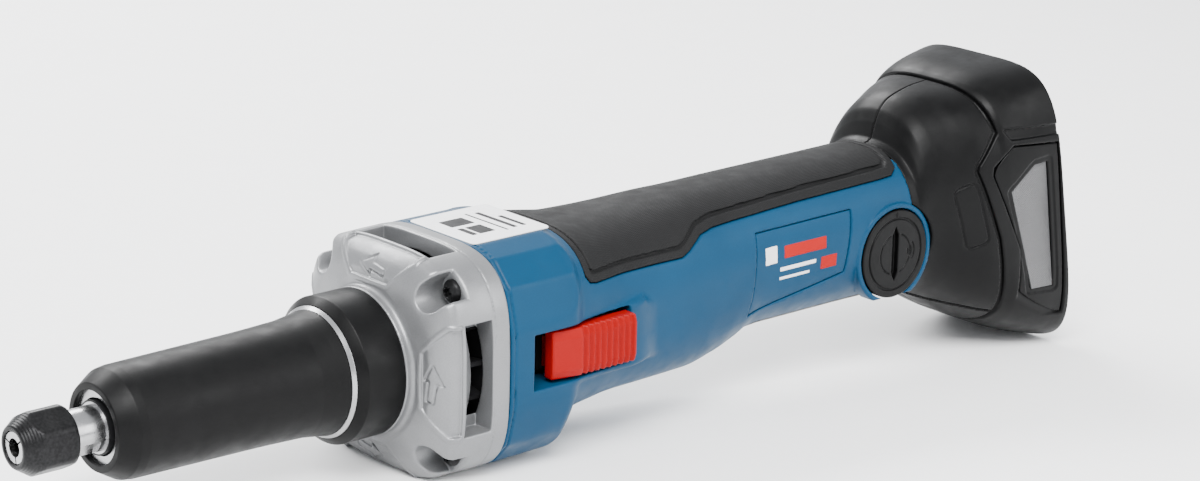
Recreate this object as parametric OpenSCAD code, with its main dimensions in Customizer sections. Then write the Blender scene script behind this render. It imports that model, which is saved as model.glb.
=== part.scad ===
// Cordless die grinder with a long slim neck, a collet chuck, a slide switch,
// and a slide-on battery interface at the rear.
// X runs from the collet to the battery, Z is up, and the origin lies on the
// spindle axis at the collet's front face. All sizes are in millimetres.

/* [Collet and spindle] */
// Shank diameter that the collet holds
shank_d = 6; // [3:0.5:6]
// Width across the flats of the collet nut
nut_af = 19; // [18:0.5:20]
// Length of the collet nut
nut_len = 18.3; // [17:0.1:19]
// Diameter of the spindle at its wrench flats
spindle_d = 15; // [14.5:0.1:15.4]
// Width across the spindle's wrench flats
spindle_af = 13; // [12:0.5:14]

/* [Neck] */
// Radius of the neck sleeve behind its chamfer
sleeve_r = 18.3; // [18:0.1:19]
// Radius of the clamping collar
collar_r = 24.85; // [24:0.05:26]

/* [Flange] */
// Distance from the axis to each flange screw, along Y and along Z
screw_offset = 28; // [27.5:0.1:28.5]
// Width of a cooling vent around the flange
vent_w = 38; // [30:1:40]

/* [Switch] */
// Travel of the slide button from off to on
switch_travel = 8; // [5:0.5:8]
// Length of the slide button
button_len = 36; // [34:0.5:36]

/* [Module cover] */
// Radius of the round cover
cover_r = 16.6; // [15:0.1:16.8]

/* [Battery side] */
// Where the battery plane crosses the spindle axis
plane_x = 438.2; // [438:0.1:440]
// Height of each battery rail above its plate
rail_h = 8; // [7:0.5:9]

/* [Hidden] */
$fn = 72;

// Places along the spindle axis
sleeve_x = 28.9;
collar_x = 113;
boss_x = 131.9;
flange_x = 134.7;
vent_x = [145.5, 156.5];
joint_x = 164;
rear_x = 366;
front_bearing_x = 33.2;
mid_bearing_x = 134.8;
rear_bearing_x = 227;
stator_x = [172, 206];

// Bearing sizes: bore radius, outer radius and width
spindle_bearing = [6, 14, 8];
motor_bearing = [4, 11, 7];

// Radii inside the motor
carrier_r = 26;
carrier_end = 236;
stator_r = 24;
air_gap_r = 14.2;
magnet_r = 13.8;
rotor_core_r = 11.8;
shaft_r = 4;
neck_r = 16.2;
shell = 2.8;

// Thickness of the grip's rubber layer
grip_wall = 2.2;

// Slant of the battery plane
lean = 10.2;
lean_slope = tan(lean);

// Cross-sections of the body from flange to rear: place, half width, top, bottom,
// squareness and slant
body = [
    [joint_x, 38.0, 38.2, -38.0, 4.2, 0], [186, 38.0, 38.2, -38.2, 4.0, 0],
    [192, 37.6, 38.1, -38.0, 3.8, 0], [197, 36.6, 37.4, -31.5, 3.3, 0],
    [203, 35.5, 36.4, -28.8, 3.0, 0], [212, 33.8, 35.2, -28.3, 2.8, 0],
    [222, 32.0, 34.3, -28.3, 2.6, 0], [240, 30.2, 34.4, -28.6, 2.5, 0],
    [262, 28.6, 34.9, -28.4, 2.5, 0], [275, 27.5, 35.1, -26.4, 2.4, 0],
    [284, 26.8, 35.2, -23.4, 2.4, 0], [292, 26.3, 35.3, -20.2, 2.4, 0],
    [300, 26.0, 35.4, -19.7, 2.4, 0], [340, 26.0, 35.7, -19.7, 2.4, 0],
    [366, 26.4, 35.9, -19.9, 2.4, 0]
];
bulb = [
    [366, 26.4, 35.9, -19.9, 2.4, 0], [369, 26.6, 37.0, -20.0, 2.4, 0],
    [371, 26.9, 43.0, -20.2, 2.3, 0], [374, 27.4, 48.0, -20.6, 2.3, 0.01],
    [379, 28.8, 51.2, -22.0, 2.3, 0.03], [386, 31.2, 53.0, -26.2, 2.4, 0.06],
    [394, 33.8, 54.2, -32.2, 2.6, 0.11], [401, 35.8, 54.8, -36.8, 2.8, 0.15],
    [408, 37.0, 55.2, -40.6, 3.1, lean_slope], [412, 37.5, 57.2, -42.6, 3.4, lean_slope],
    [421, 38.1, 59.7, -46.2, 3.8, lean_slope], [430, 38.4, 60.9, -48.6, 4.2, lean_slope],
    [plane_x, 38.5, 61.6, -50.2, 4.5, lean_slope]
];
casting = [
    [flange_x, 25.0, 25.0, -25.0, 2.0, 0], [136.2, 31.0, 30.6, -30.6, 2.3, 0],
    [138.4, 35.6, 35.2, -35.2, 2.7, 0], [140.6, 38.4, 38.0, -38.0, 3.0, 0],
    [143.0, 39.2, 38.6, -38.6, 3.2, 0], [158.0, 39.2, 38.8, -38.8, 3.3, 0],
    [163.8, 38.8, 38.4, -38.4, 3.5, 0]
];
ring_count = 40;

// Side outlines, as X and Z
seam = [
    [398.4, 90], [398.4, 55], [401, 41], [391.5, 29], [391.5, 27], [403, 0], [411, -30], [415.5, -90]
];
grip_edge = [
    [196, 60], [201, 33], [208, 22], [211, 18.5], [251, 18.5], [259, 26], [265, 27.6], [355, 30], [364, 25]
];
frame_edge = [
    [430.5, 34], [408.3, 35.4], [399.4, 28.3], [399.2, 25.3],
    [413.5, -5], [417.3, -29], [418, -33], [441, -33]
];
mesh_edge = [[419.6, 26.6], [426.3, 27], [434.2, -23.3], [422.7, -22.7], [408.2, 17.7]];
label_edge = [[288, 19.5], [335, 20], [332.5, -1], [287, -8]];

// Slide switch: rear edge of its window, clearances around the button, and the button's heights
window_back = 219.5;
button_z = [-8, 9.2];
button_gap = 0.6;
button_x = window_back - button_len - 0.4;
window_x = [button_x - switch_travel - button_gap, window_back];
window_z = [button_z[0] - button_gap, button_z[1] + button_gap];
button_y = -39.4;

// Fan: back of its hub and its outer radius
fan_x = 149.6;
fan_r = 33;

// Round cover: its centre, the radius of the boss round it and of its seat
cover_x = 357;
cover_z = 1;
cover_y = -26.3;
boss_r = 19;
seat_r = 17.1;
holder_r = 15.3;
holder_y = -21.8;

// Top of the lower trim and its front end
trim_z = -15.4;
trim_x = 294;

// Depths of the filter pockets, of their frames and of the meshes from the middle plane
pocket_y = 34.4;
filter_y = 34.7;
mesh_y = [35.8, 36.4];

// Wall of the rear shells and of the rear rim, and the back of the battery plate
rear_wall = 2.6;
rim_wall = 2.5;
plate_back = -4.2;
plate_front = -1.6;

// Screws that hold the rear shells together: X and Z
shell_screws = [[383, 36], [391, -17], [418, 46], [424, -34]];

function outline(s) = [
    for (i = [0 : ring_count - 1])
        let (t = 360 * i / ring_count, c = cos(t), d = sin(t), p = 2 / s[4],
             z = (s[2] + s[3]) / 2 + (s[2] - s[3]) / 2 * sign(d) * pow(abs(d), p))
        [s[0] - s[5] * z, s[1] * sign(c) * pow(abs(c), p), z]
];
function inset(rows, w) = [for (s = rows) [s[0], s[1] - w, s[2] - w, s[3] + w, s[4], s[5]]];

// A closed solid through a row of cross-sections
module loft(rows) {
    last = (len(rows) - 1) * ring_count;
    polyhedron(
        points = [for (s = rows) each outline(s)],
        faces = concat(
            [[for (i = [0 : ring_count - 1]) i]],
            [for (j = [0 : len(rows) - 2]) for (i = [0 : ring_count - 1])
                let (a = j * ring_count + i, b = j * ring_count + (i + 1) % ring_count)
                each [[a, a + ring_count, b], [b, a + ring_count, b + ring_count]]],
            [[for (i = [ring_count - 1 : -1 : 0]) last + i]]
        )
    );
}

// A turned piece about the spindle axis, from points of radius and X
module turned(points) {
    rotate([0, 90, 0]) rotate_extrude($fn = 96) polygon(points);
}

// A straight rod or bore along X
module rod(r, x0, x1, y = 0, z = 0) {
    translate([x0, y, z]) rotate([0, 90, 0]) cylinder(r = r, h = x1 - x0);
}

// A straight rod or bore along Y
module cross_rod(r, y0, y1, x, z) {
    translate([x, y0, z]) rotate([-90, 0, 0]) cylinder(r = r, h = y1 - y0);
}

// A block between two corners
module block(low, high) {
    translate(low) cube(high - low);
}

// A prism across the tool from points of X and Z
module side_prism(points, y0, y1) {
    translate([0, y1, 0]) rotate([90, 0, 0]) linear_extrude(y1 - y0) polygon(points);
}

// Children placed on the battery plane: X out of the plane, Z up along it
module on_plane() {
    translate([plane_x, 0, 0]) rotate([0, -lean, 0]) children();
}

module around(count) {
    for (i = [0 : count - 1]) rotate([i * 360 / count, 0, 0]) children();
}

module collet_nut() {
    color("#2c2c2e") difference() {
        intersection() {
            turned([[0, 0], [6.75, 0], [10.42, 5.6], [10.42, nut_len - 1.6], [9.5, nut_len], [0, nut_len]]);
            rod(nut_af / sqrt(3), -1, nut_len + 1, $fn = 6);
        }
        turned([[0, -1], [5.36, -1], [5.36, 3.0], [6.4, 3.0], [6.4, 4.2], [7.05, 8.4], [7.05, 20], [0, 20]]);
    }
}

module collet() {
    color("#d0d0d2") difference() {
        turned([[0, 0.5], [5.0, 0.5], [5.2, 0.7], [5.2, 3.2], [5.9, 3.2], [6.2, 4.4], [6.2, 6.0],
                [5.4, 7.2], [4.5, 24], [0, 24]]);
        rod(shank_d / 2, -1, 25);
        rotate([20, 0, 0]) around(3) block([-1, 0, -0.3], [20, 8, 0.3]);
    }
}

module spindle() {
    color("#b9babd") difference() {
        union() {
            turned([[0, 8.6], [6.4, 8.6], [7, 9.2], [7, 18.4], [spindle_d / 2, 19.2], [spindle_d / 2, 29],
                    [0, 29]]);
            rod(8.3, 29, front_bearing_x - 0.2);
            rod(spindle_bearing[0], 29, 147);
            rod(8.3, 41.4, 43);
            rod(7.4, 43, mid_bearing_x);
        }
        for (side = [-1, 1])
            rotate([45, 0, 0]) translate([19.6, side * (spindle_af / 2 + 5), 0])
                block([0, -5, -8], [7.2, 5, 8]);
        turned([[0, 8], [5.75, 8], [5.75, 8.6], [4.8, 25.5], [0, 25.5]]);
        rod(shaft_r, 126, 150);
    }
}

module labyrinth_ring() {
    color("#26282c") difference() {
        rod(8.9, 29.1, 31.6);
        rod(8.3, 28, 33);
        rod(7.6, 28, 33);
    }
}

module neck_tube() {
    color("#c9cbcd") difference() {
        turned([[0, 30.6], [13, 30.6], [neck_r, 35.6], [neck_r, collar_x], [21, collar_x], [22, 114.05],
                [22, 135.8], [0, 135.8]]);
        rod(9.4, 30, 34);
        rod(spindle_bearing[1], front_bearing_x, 41.2);
        rod(12, 41.1, 134.8);
        rod(spindle_bearing[1], mid_bearing_x, 137);
    }
}

module neck_sleeve() {
    color("#38383a")
        turned([[12, sleeve_x], [14.3, sleeve_x], [sleeve_r - 0.45, 34.9], [sleeve_r, 38], [18.9, 85],
                [19.1, 92], [19.5, 103], [20.3, 109], [21, collar_x], [neck_r, collar_x], [neck_r, 35.6],
                [13, 30.6], [12, 30.6]]);
}

module clamp_collar() {
    color("#333335")
        turned([[22, 114.05], [collar_r, 117], [collar_r, boss_x], [22, boss_x]]);
}

// One ball bearing's outer or inner ring, with its ball groove
module bearing_ring(size, x, outer) {
    pitch = (size[0] + size[1]) / 2;
    ball = (size[1] - size[0]) * 0.24;
    color("#c4c6ca") difference() {
        rod(outer ? size[1] : pitch - ball * 0.72, x, x + size[2]);
        rod(outer ? pitch + ball * 0.72 : size[0], x - 1, x + size[2] + 1);
        translate([x + size[2] / 2, 0, 0]) rotate([0, 90, 0])
            rotate_extrude($fn = 72) translate([pitch, 0]) circle(r = ball + 0.06, $fn = 32);
    }
}

// The balls of one bearing, joined by their cage
module ball_set(size, x) {
    pitch = (size[0] + size[1]) / 2;
    ball = (size[1] - size[0]) * 0.24;
    translate([x + size[2] / 2, 0, 0]) {
        around(7) translate([0, pitch, 0]) sphere(r = ball, $fn = 32);
        difference() {
            rod(pitch + ball * 0.35, -size[2] * 0.2, size[2] * 0.2);
            rod(pitch - ball * 0.35, -size[2], size[2]);
        }
    }
}

module bearing_balls() {
    color("#d8d9dc") {
        ball_set(spindle_bearing, front_bearing_x);
        ball_set(spindle_bearing, mid_bearing_x);
        ball_set(motor_bearing, rear_bearing_x);
    }
}

module flange_casting() {
    color("#b4b5b8") difference() {
        union() {
            loft(casting);
            turned([[0, boss_x], [24.95, boss_x], [24.95, 136], [0, 136]]);
        }
        // Seats for the neck tube and the middle bearing
        rod(22, 130, 135.8);
        rod(spindle_bearing[1], 135, 142.8);
        rod(10, 142, 150);
        // Fan chamber and vents
        turned([[17, 145.2], [29, 143.2], [35, 145.2], [35, 165], [0, 165], [0, 147], [17, 147]]);
        around(4) block([vent_x[0], 28, -vent_w / 2], [vent_x[1], 60, vent_w / 2]);
        // Pockets and holes of the corner screws
        for (y = [-1, 1], z = [-1, 1]) {
            rod(6.2, 130, 148.4, y * screw_offset, z * screw_offset);
            rod(6.2, 130, 148.4, y * (screw_offset + 5), z * (screw_offset + 5));
            rod(2.1, 140, 170, y * screw_offset, z * screw_offset);
        }
    }
}

// A pan-head screw along X, with its six-lobed socket simplified to a hexagon
module pan_screw(length) {
    difference() {
        union() {
            turned([[0, -3], [2.6, -3], [3.6, -2.5], [4.1, -1.5], [4.1, 0], [0, 0]]);
            rod(2, -0.5, length);
        }
        rod(1.7, -4, -1.2, $fn = 6);
    }
}

module flange_screws() {
    color("#242426")
        for (y = [-1, 1], z = [-1, 1])
            translate([148.4, y * screw_offset, z * screw_offset]) pan_screw(26);
}

module fan() {
    color("#1f2022") difference() {
        union() {
            turned([[0, fan_x], [8, fan_x], [10, 156.2], [fan_r, 158.4], [fan_r, 160.2], [0, 160.2]]);
            around(17) block([fan_x + 1, -0.7, 12], [159.5, 0.7, fan_r - 0.4]);
        }
        rod(shaft_r, 140, 170);
    }
}

module motor_shaft() {
    color("#bfc1c4") rod(shaft_r, 126, 238);
}

module rotor_core() {
    color("#8e9094") difference() {
        rod(rotor_core_r, stator_x[0] + 1, stator_x[1] - 1);
        rod(shaft_r, stator_x[0] - 1, stator_x[1] + 1);
    }
}

module rotor_magnets() {
    color("#55575b") difference() {
        rod(magnet_r, stator_x[0] + 1.5, stator_x[1] - 1.5);
        rod(rotor_core_r, stator_x[0], stator_x[1]);
    }
}

module stator_core() {
    color("#7d8086") difference() {
        rod(stator_r, stator_x[0], stator_x[1]);
        rod(20, stator_x[0] - 1, stator_x[1] + 1);
    }
    color("#7d8086") intersection() {
        around(6) block([stator_x[0], -3, 13], [stator_x[1], 3, 21]);
        difference() {
            rod(20.5, stator_x[0], stator_x[1]);
            rod(air_gap_r, stator_x[0] - 1, stator_x[1] + 1);
        }
    }
}

module stator_windings() {
    color("#b87333") around(6) difference() {
        block([stator_x[0] - 4, -6, 15.2], [stator_x[1] + 4, 6, 18.9]);
        block([stator_x[0] - 0.2, -3.1, 14], [stator_x[1] + 0.2, 3.1, 21]);
    }
}

// Tube that holds the stator and, in its end wall, the rear bearing
module motor_carrier() {
    color("#2e2f31") difference() {
        rod(carrier_r, 166, carrier_end);
        rod(stator_r, 165, 207);
        rod(22.5, 206, 226);
        rod(motor_bearing[1], rear_bearing_x, 240);
        rod(9, 224, 230);
        around(6) rotate([30, 0, 0]) translate([220, 0, 17]) rod(3.4, 0, 20);
    }
}

module housing_cavity() {
    rod(34, 160, 169);
    rod(carrier_r + 0.05, 160, carrier_end);
    rod(21, 230, 245);
    loft(inset([for (s = body) if (s[0] > 239) s], shell));
    block([360, -22, -15], [370, 22, 30]);
}

module motor_housing() {
    color("#2f6f9c") difference() {
        union() {
            difference() {
                loft(body);
                side_prism(concat(grip_edge, [[370, 25], [370, 60]]), -60, 60);
            }
            loft(inset([for (s = body) if (s[0] > 191) s], grip_wall));
            cross_rod(boss_r, cover_y, -20, cover_x, cover_z);
        }
        housing_cavity();
        // Slide window and the channel of the switch rod
        block([window_x[0], -60, window_z[0]], [window_x[1], -25, window_z[1]]);
        block([window_x[0], -28.4, -7], [250, -22, 7]);
        block([carrier_end - 1, -22.5, -4.2], [250, -15, 4.2]);
        // Seat of the round cover, and flats of the two labels
        cross_rod(seat_r, -60, -18, cover_x, cover_z);
        cross_rod(holder_r + 0.1, -60, -11.9, cover_x, cover_z);
        side_prism(label_edge, -60, -23.6);
        block([165, -17.6, 37.6], [199, 17.6, 60]);
        // Underside that the lower trim closes
        block([trim_x, -60, -60], [370, 60, trim_z]);
        for (y = [-1, 1], z = [-1, 1]) rod(2, 160, 175, y * screw_offset, z * screw_offset);
    }
}

module grip_overmould() {
    color("#444446") difference() {
        intersection() {
            loft([for (s = body) if (s[0] > 191) s]);
            side_prism(concat(grip_edge, [[366, 25], [366, 60]]), -60, 60);
        }
        loft(inset([for (s = body) if (s[0] > 185) s], grip_wall));
        block([192, -60, -60], [198, 60, 60]);
        cross_rod(boss_r + 0.2, -60, 0, cover_x, cover_z);
    }
}

module top_label() {
    color("#e8e8ea") block([165.2, -17.4, 37.6], [198.8, 17.4, 38.2]);
}

module side_label() {
    color("#2a6591") side_prism(label_edge, -24.2, -23.6);
}

module lower_trim() {
    color("#2b2c2e") difference() {
        intersection() {
            loft([for (s = body) if (s[0] > 290) s]);
            block([trim_x, -60, -60], [rear_x, 60, trim_z]);
        }
        loft(inset([for (s = body) if (s[0] > 283) s], shell));
        cross_rod(holder_r + 0.1, -60, -11.9, cover_x, cover_z);
    }
}

module slide_button() {
    color("#d8201c") difference() {
        union() {
            block([button_x, button_y, button_z[0]], [button_x + button_len, -33, button_z[1]]);
            block([button_x + 3, -33.5, -5.5], [button_x + 28, -28, 5.5]);
        }
        // Grip ribs across the button
        for (i = [0 : 8])
            translate([button_x + 12 + i * 2.6, -40.6, -20]) cylinder(r = 1.7, h = 40, $fn = 32);
        // Front ramp
        translate([button_x, button_y, 0]) rotate([0, 0, -30]) block([-6, -6, -20], [6, 0, 20]);
    }
}

module switch_rod() {
    color("#1d1e20") difference() {
        union() {
            block([button_x + 1, -28, -6.5], [button_x + 30, -26.6, 6.5]);
            block([button_x + 25, -28, -3], [248, -26.6, 3]);
            block([245, -28, -3], [248, -16.4, 3]);
        }
        for (z = [-4.6, 4.6]) cross_rod(1, -30, -25, button_x + 26, z);
    }
}

module switch_module() {
    color("#1a1a1c") difference() {
        block([240, -20, -9], [268, -2, 12]);
        block([239, -21, -4], [249.5, -15.5, 4]);
    }
}

module control_tray() {
    color("#3a3b3e") difference() {
        block([284, -18, -9], [336, 18, 8]);
        block([285.6, -16.4, -7], [334.4, 16.4, 12]);
    }
}

module control_board() {
    color("#1f5a38") block([286, -16, -4], [334, 16, -2.4]);
    color("#303236") {
        for (x = [290 : 8 : 322]) block([x, -12, -2.4], [x + 5.5, -5.5, 0.2]);
        for (y = [-9, 9]) translate([328, y + 3, -2.4]) cylinder(r = 4, h = 9);
        block([292, 2, -2.4], [306, 14, 1.6]);
    }
}

module motor_wires() {
    color("#303030") for (y = [-8.5, 7, 10]) rod(1.3, 210.2, 283.5, y, 14.7);
}

module battery_wires() {
    color("#a02020") for (y = [-8, 8]) rod(1.6, 336.2, 424, y, 2);
}

module module_holder() {
    color("#26272a") difference() {
        cross_rod(holder_r, holder_y, -12, cover_x, cover_z);
        cross_rod(14.1, -24, -13.6, cover_x, cover_z);
    }
}

module radio_module() {
    color("#3c3e42") cross_rod(14, -19.6, -13.6, cover_x, cover_z);
    color("#c8c9cc") cross_rod(10, -21.4, -19.6, cover_x, cover_z);
}

module cover_seal() {
    color("#151516") translate([cover_x, holder_y - 0.7, cover_z]) rotate([90, 0, 0])
        rotate_extrude($fn = 72) translate([15.8, 0]) circle(r = 0.7, $fn = 24);
}

module module_cover() {
    color("#303133") difference() {
        union() {
            translate([cover_x, cover_y, cover_z]) rotate([-90, 0, 0])
                rotate_extrude($fn = 96)
                    polygon([[0, -0.5], [11, -0.4], [cover_r - 1, 0.1], [cover_r, 0.9],
                             [cover_r, 2.6], [0, 2.6]]);
        }
        block([cover_x - 1.6, -30, cover_z - 10], [cover_x + 1.6, cover_y + 1.6, cover_z + 10]);
    }
}

module rear_solid(w = 0) {
    loft(inset(bulb, w));
}

// The inside of the rear rim, carried on past the battery plane
module bay_solid(w) {
    rim = bulb[len(bulb) - 1];
    beyond = [rim[0] + 5, rim[1], rim[2], rim[3], rim[4], rim[5]];
    loft(inset(concat([for (s = bulb) if (s[0] > 411) s], [beyond]), w));
}

// Half of the rear shell: side -1 is the left one, and 1 the right one
module rear_shell(side) {
    difference() {
        intersection() {
            rear_solid();
            side_prism(concat([[rear_x, 90]], seam, [[rear_x, -90]]), side < 0 ? -60 : 0, side < 0 ? 0 : 60);
        }
        difference() {
            rear_solid(rear_wall);
            for (p = [shell_screws[0], shell_screws[1]]) cross_rod(4, -60, 60, p[0], p[1]);
        }
        cross_rod(boss_r, -60, -18, cover_x, cover_z);
        cross_rod(holder_r + 0.1, -60, -11.9, cover_x, cover_z);
        for (p = [shell_screws[0], shell_screws[1]]) {
            cross_rod(side < 0 ? 1.75 : 2, -16, 60, p[0], p[1]);
            if (side > 0) cross_rod(3.8, 14, 60, p[0], p[1]);
        }
    }
}

module rear_shell_left() {
    color("#2e2f31") rear_shell(-1);
}

module rear_shell_right() {
    color("#2e2f31") rear_shell(1);
}

module rear_frame() {
    color("#2a2b2d") difference() {
        intersection() {
            rear_solid();
            side_prism(concat([[460, 90]], seam, [[460, -90]]), -60, 60);
        }
        difference() {
            intersection() {
                side_prism([[380, 47], [432, 47], [445, -37], [380, -27]], -32, 32);
                rear_solid(rear_wall);
            }
            for (p = [shell_screws[2], shell_screws[3]]) cross_rod(4, 0, 60, p[0], p[1]);
        }
        // Bay of the battery plate
        intersection() {
            on_plane() block([plate_back, -60, -90], [3, 60, 90]);
            bay_solid(rim_wall);
        }
        // Side pockets of the filter frames, with air openings behind them
        for (side = [-1, 1]) {
            side_prism(frame_edge, side < 0 ? -60 : pocket_y, side < 0 ? -pocket_y : 60);
            side_prism(mesh_edge, side < 0 ? -60 : 30, side < 0 ? -30 : 60);
        }
        for (p = [shell_screws[2], shell_screws[3]]) {
            cross_rod(2, 10, 60, p[0], p[1]);
            cross_rod(3.8, 29, 60, p[0], p[1]);
        }
    }
}

module housing_screws() {
    color("#1c1c1e") {
        for (p = [shell_screws[0], shell_screws[1]])
            translate([p[0], 14, p[1]]) rotate([0, 0, -90]) scale(0.85) pan_screw(22);
        for (p = [shell_screws[2], shell_screws[3]])
            translate([p[0], 29, p[1]]) rotate([0, 0, -90]) scale(0.85) pan_screw(18);
    }
}

// Removable frame of a dust filter, in the pocket on one side
module filter_frame(side) {
    difference() {
        intersection() {
            rear_solid();
            translate([421 * 0.008, 0, 0]) scale([0.992, 1, 0.992])
                side_prism(frame_edge, side < 0 ? -60 : filter_y, side < 0 ? -filter_y : 60);
        }
        side_prism(mesh_edge, -60, 60);
    }
}

module filter_frame_left() {
    color("#2c2d2f") filter_frame(-1);
}

module filter_frame_right() {
    color("#2c2d2f") filter_frame(1);
}

module filter_mesh_left() {
    color("#b4b5b7") side_prism(mesh_edge, -mesh_y[1], -mesh_y[0]);
}

module filter_mesh_right() {
    color("#b4b5b7") side_prism(mesh_edge, mesh_y[0], mesh_y[1]);
}

module rear_plate() {
    color("#232426") difference() {
        intersection() {
            on_plane() block([plate_back, -60, -90], [plate_front, 60, 90]);
            bay_solid(rim_wall);
        }
        on_plane() block([-10, -10, 42], [10, 10, 47]);
        for (y = [-8, 8]) rod(1.65, 400, 470, y, 2);
        for (side = [-1, 1])
            side_prism(frame_edge, side < 0 ? -60 : pocket_y - 0.2, side < 0 ? 0.2 - pocket_y : 60);
    }
}

module battery_rails() {
    color("#36373a") on_plane() for (side = [-1, 1]) {
        block([plate_front, side < 0 ? -29 : 23.5, -38], [rail_h, side < 0 ? -23.5 : 29, 40]);
        block([rail_h - 2.6, side < 0 ? -24 : 20.5, -38], [rail_h, side < 0 ? -20.5 : 24, 40]);
    }
}

module terminal_block() {
    color("#c9a21a") on_plane() difference() {
        block([plate_front, -16, -30], [5.5, 16, -6]);
        for (y = [-12 : 6 : 12]) block([-0.4, y - 0.9, -31], [7, y + 0.9, -12]);
    }
}

module battery_contacts() {
    color("#c8b070") on_plane() for (y = [-12 : 6 : 12])
        block([-0.4, y - 0.4, -28], [4.6, y + 0.4, -12]);
}

collet_nut();
collet();
spindle();
labyrinth_ring();
neck_tube();
neck_sleeve();
clamp_collar();
bearing_ring(spindle_bearing, front_bearing_x, true);  // front_bearing_outer
bearing_ring(spindle_bearing, front_bearing_x, false);  // front_bearing_inner
bearing_ring(spindle_bearing, mid_bearing_x, true);  // mid_bearing_outer
bearing_ring(spindle_bearing, mid_bearing_x, false);  // mid_bearing_inner
bearing_ring(motor_bearing, rear_bearing_x, true);  // rear_bearing_outer
bearing_ring(motor_bearing, rear_bearing_x, false);  // rear_bearing_inner
bearing_balls();
flange_casting();
flange_screws();
fan();
motor_shaft();
rotor_core();
rotor_magnets();
stator_core();
stator_windings();
motor_carrier();
motor_housing();
grip_overmould();
top_label();
side_label();
lower_trim();
slide_button();
switch_rod();
switch_module();
control_tray();
control_board();
motor_wires();
battery_wires();
module_holder();
radio_module();
cover_seal();
module_cover();
rear_shell_left();
rear_shell_right();
rear_frame();
housing_screws();
filter_frame_left();
filter_frame_right();
filter_mesh_left();
filter_mesh_right();
rear_plate();
battery_rails();
terminal_block();
battery_contacts();
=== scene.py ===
"""The looks of a cordless die grinder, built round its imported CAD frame.

Moulded and cast pieces are distance fields in millimetres, meshed with a surface net. Turned pieces are lathed.
Everything else keeps its CAD mesh and gets a procedural material. X runs from the nose to the battery side.
"""

import math

import bpy
import numpy as np
from mathutils import Matrix, Vector


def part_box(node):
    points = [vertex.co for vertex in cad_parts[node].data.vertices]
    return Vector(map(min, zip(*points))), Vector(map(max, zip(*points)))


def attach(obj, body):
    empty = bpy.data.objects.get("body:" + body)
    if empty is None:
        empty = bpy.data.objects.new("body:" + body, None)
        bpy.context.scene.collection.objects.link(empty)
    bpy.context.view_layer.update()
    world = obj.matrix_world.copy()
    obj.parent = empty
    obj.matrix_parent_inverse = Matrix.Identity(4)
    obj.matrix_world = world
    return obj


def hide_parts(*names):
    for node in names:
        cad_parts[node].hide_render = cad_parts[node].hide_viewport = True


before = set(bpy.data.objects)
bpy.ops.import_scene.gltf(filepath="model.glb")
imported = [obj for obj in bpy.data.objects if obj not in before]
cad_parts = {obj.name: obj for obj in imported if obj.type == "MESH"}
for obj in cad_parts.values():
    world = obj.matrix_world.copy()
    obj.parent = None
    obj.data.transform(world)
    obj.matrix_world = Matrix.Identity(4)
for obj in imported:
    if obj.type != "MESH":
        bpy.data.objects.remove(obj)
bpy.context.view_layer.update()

MM = 0.001


# ---------------------------------------------------------------- places taken from the frame, in millimetres

def span(node):
    """Lowest and highest corner of a CAD node, in millimetres."""
    low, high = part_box(node)
    return np.array(low) / MM, np.array(high) / MM


HOUSING = span("motor_housing")
COVER = span("module_cover")
JOINT_X = HOUSING[0][0]             # where flange and housing meet
GRIP_END_X = HOUSING[1][0] - 10     # where housing and rear shells meet
COVER_X = (COVER[0][0] + COVER[1][0]) / 2
COVER_Z = (COVER[0][2] + COVER[1][2]) / 2
COVER_R = (COVER[1][0] - COVER[0][0]) / 2
COVER_Y = COVER[0][1] + 0.5         # face of the seat round the cover
BOSS_R, BOSS_BACK_Y = 19.0, -18.0   # seat of the round cover, in the housing
SCREW_Y = 28.0                      # flange screws, out from the spindle axis both ways
SCREW_FLOOR_X = 148.4
MOTOR_R = 26.1                      # hollow for the motor
MOTOR_END_X = 236.0
BODY_WALL, REAR_WALL = 2.9, 2.6
WINDOW = (174.5, -60, -8.6), (219.5, -24, 9.8)      # of the slide button
TOP_BED = (165.2, -17.5, 37.6), (199, 17.5, 60)     # of the top label
TRIM_X, TRIM_Z = 294.0, -15.2       # front and top of the opening for the lower trim
FILTER_Y = 34.4                     # floor of the filter pockets, out from the middle
GRIP_BED, LABEL_BED = 2.3, 1.3      # depths of the beds of the grip and the side label
PLANE_X = 438.2                     # battery side, where it crosses Z = 0
SLOPE = math.tan(math.radians(10.2))
SIDES = ((-1, "left"), (1, "right"))


# ---------------------------------------------------------------- distance fields

def soft_min(a, b, k):
    """The smaller of two fields, blended over a width of k."""
    h = np.clip(0.5 + 0.5 * (b - a) / k, 0, 1)
    return b + (a - b) * h - k * h * (1 - h)


def soft_max(a, b, k):
    return -soft_min(-a, -b, k)


def cut(a, b, k=0.3):
    """Field a with b taken away, the new edges eased by k."""
    return soft_max(a, -b, k)


def box_field(p, low, high):
    """Signed distance to a box."""
    q = [np.maximum(l - c, c - h) for c, l, h in zip(p, low, high)]
    outside = np.sqrt(sum(np.maximum(c, 0) ** 2 for c in q))
    return outside + np.minimum(np.maximum(np.maximum(q[0], q[1]), q[2]), 0)


def outline_field(u, v, points, closed=True):
    """Signed distance to a polygon, or plain distance to an open line, in two coordinates."""
    best = np.full(np.shape(u), 1e9)
    sign = np.ones(np.shape(u))
    count = len(points)
    for i in range(count if closed else count - 1):
        ax, ay = points[i]
        bx, by = points[(i + 1) % count]
        ex, ey = bx - ax, by - ay
        wx, wy = u - ax, v - ay
        t = np.clip((wx * ex + wy * ey) / (ex * ex + ey * ey), 0, 1)
        best = np.minimum(best, (wx - ex * t) ** 2 + (wy - ey * t) ** 2)
        if closed:
            up = (v >= ay) & (v < by) & (ex * wy > ey * wx)
            down = (v < ay) & (v >= by) & (ex * wy < ey * wx)
            sign = np.where(up | down, -sign, sign)
    return np.sqrt(best) * (sign if closed else 1)


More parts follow.
